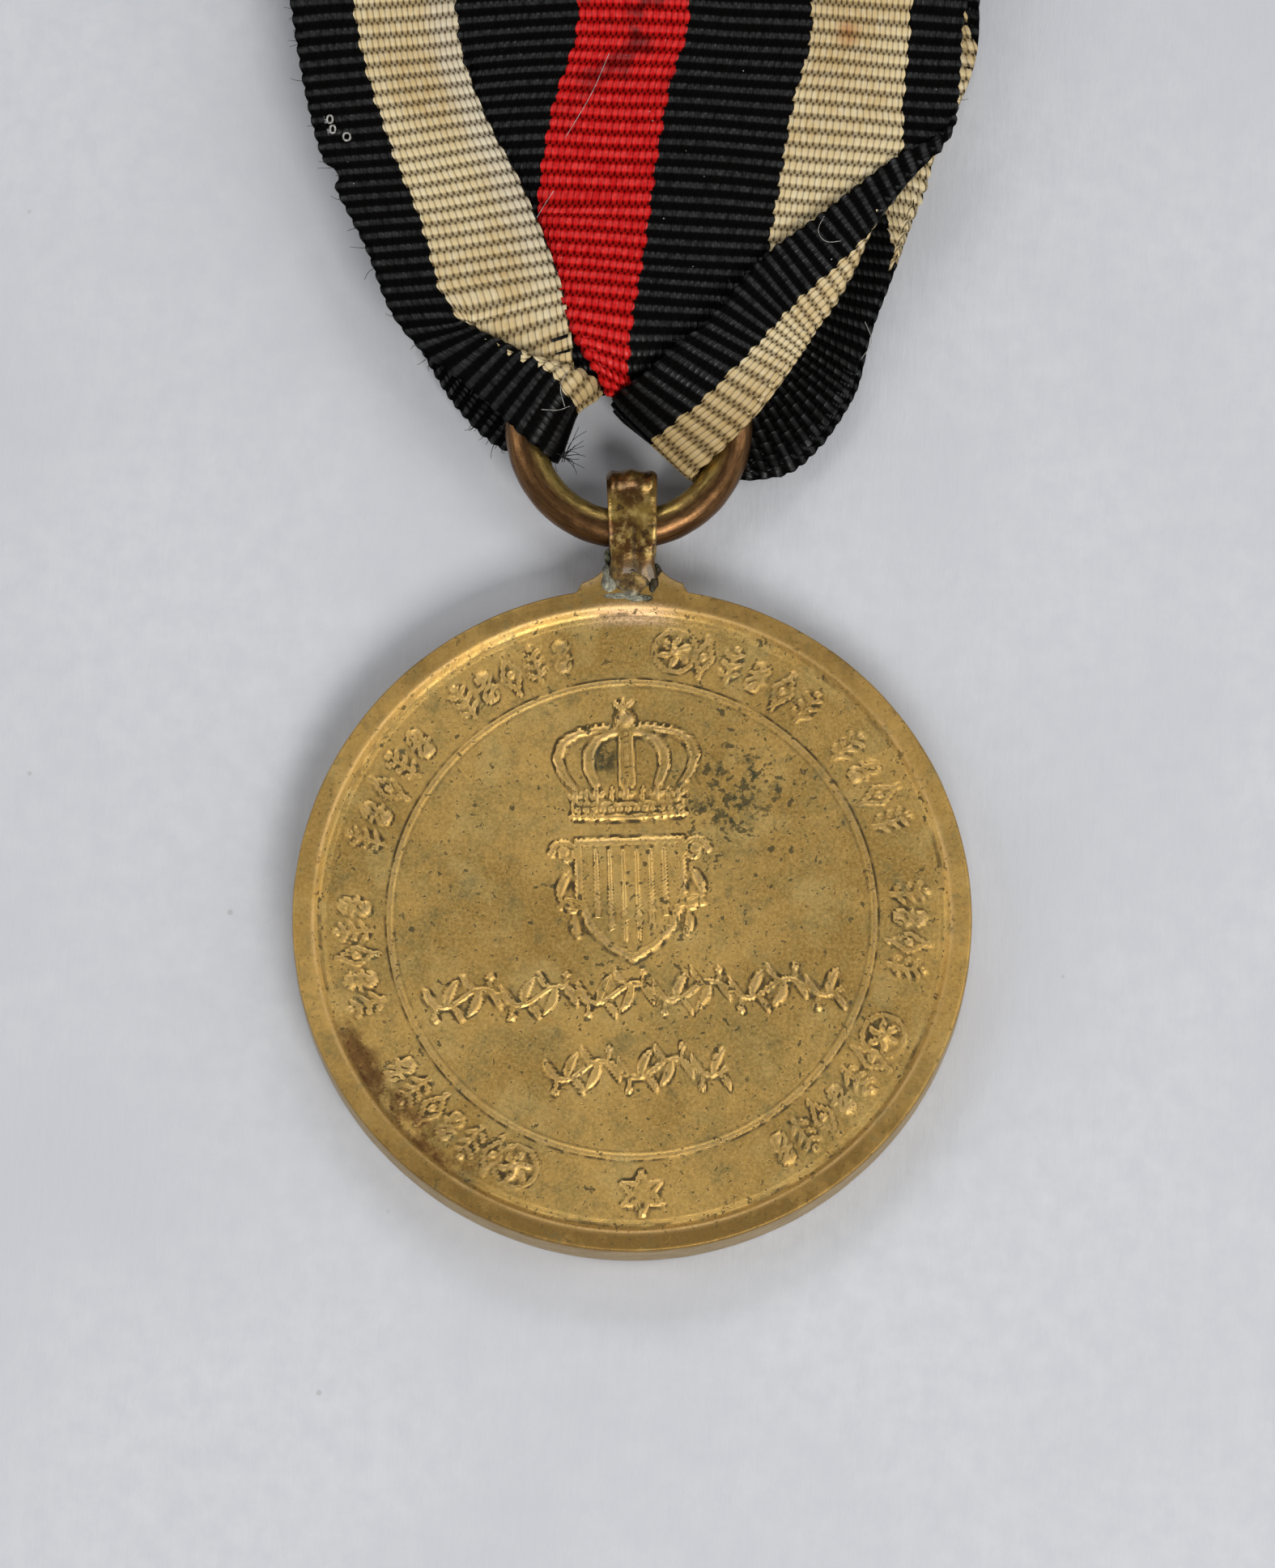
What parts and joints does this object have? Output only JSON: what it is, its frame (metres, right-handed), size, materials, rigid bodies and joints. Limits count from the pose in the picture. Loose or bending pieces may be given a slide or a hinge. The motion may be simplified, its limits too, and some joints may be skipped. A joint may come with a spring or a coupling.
{
  "type": "commemorative medal",
  "caption": "Round struck medal with a soldered eyelet and wire ring, on a striped repp ribbon gathered through the ring and sewn to a pin brooch.",
  "frame": {"origin": "on the disc's axis, level with the back of its raised rim, 0.32 mm behind the flat field of the reverse", "axes": "+Z out of the obverse, +Y from the disc through the eyelet and ring to the top of the ribbon, +X to the right as seen from the front"},
  "size_m": [0.0308, 0.0805, 0.0041],
  "materials": {
    "struck_bronze": "worn struck bronze, brown patina, dark dirt in the recesses",
    "eyelet_bronze": "mottled brown and olive patina, rubbed bright on its lobes",
    "solder": "dull grey tin solder",
    "ring_brass": "dark brown patina with worn yellow metal on the crests",
    "ribbon_cloth": "ribbed repp weave with black, cream and red stripes, aged",
    "thread": "twisted cotton sewing thread",
    "plated_steel": "dulled nickel plate over steel",
    "rivet_steel": "plain steel, darkened",
    "needle_steel": "drawn steel wire, polished towards the point"
  },
  "bodies": {
    "medal": {"disc": "struck_bronze", "eyelet": "eyelet_bronze", "solder_seam": "solder"},
    "ring": {"suspension_ring": "ring_brass", "ribbon_gather": "ribbon_cloth"},
    "ribbon": {"ribbon_drop": "ribbon_cloth", "sewing_thread": "thread", "brooch_plate": "plated_steel", "hinge_bracket": "plated_steel", "hinge_rivet": "rivet_steel", "brooch_catch": "plated_steel"},
    "needle": {"brooch_needle": "needle_steel"}
  },
  "joints": [
    {"name": "ring_swing", "type": "hinge", "parent": "medal", "child": "ring", "pos_m": [0, 0.0172, 0.0016], "axis": [1, 0, 0], "range_deg": [-90, 90]},
    {"name": "ribbon_flex", "type": "hinge", "parent": "ring", "child": "ribbon", "pos_m": [0, 0.0292, 0.0018], "axis": [1, 0, 0], "range_deg": [-75, 75]},
    {"name": "needle_hinge", "type": "hinge", "parent": "ribbon", "child": "needle", "pos_m": [-0.0105, 0.0605, 0.001], "axis": [0, 1, 0], "range_deg": [0, 80]}
  ]
}
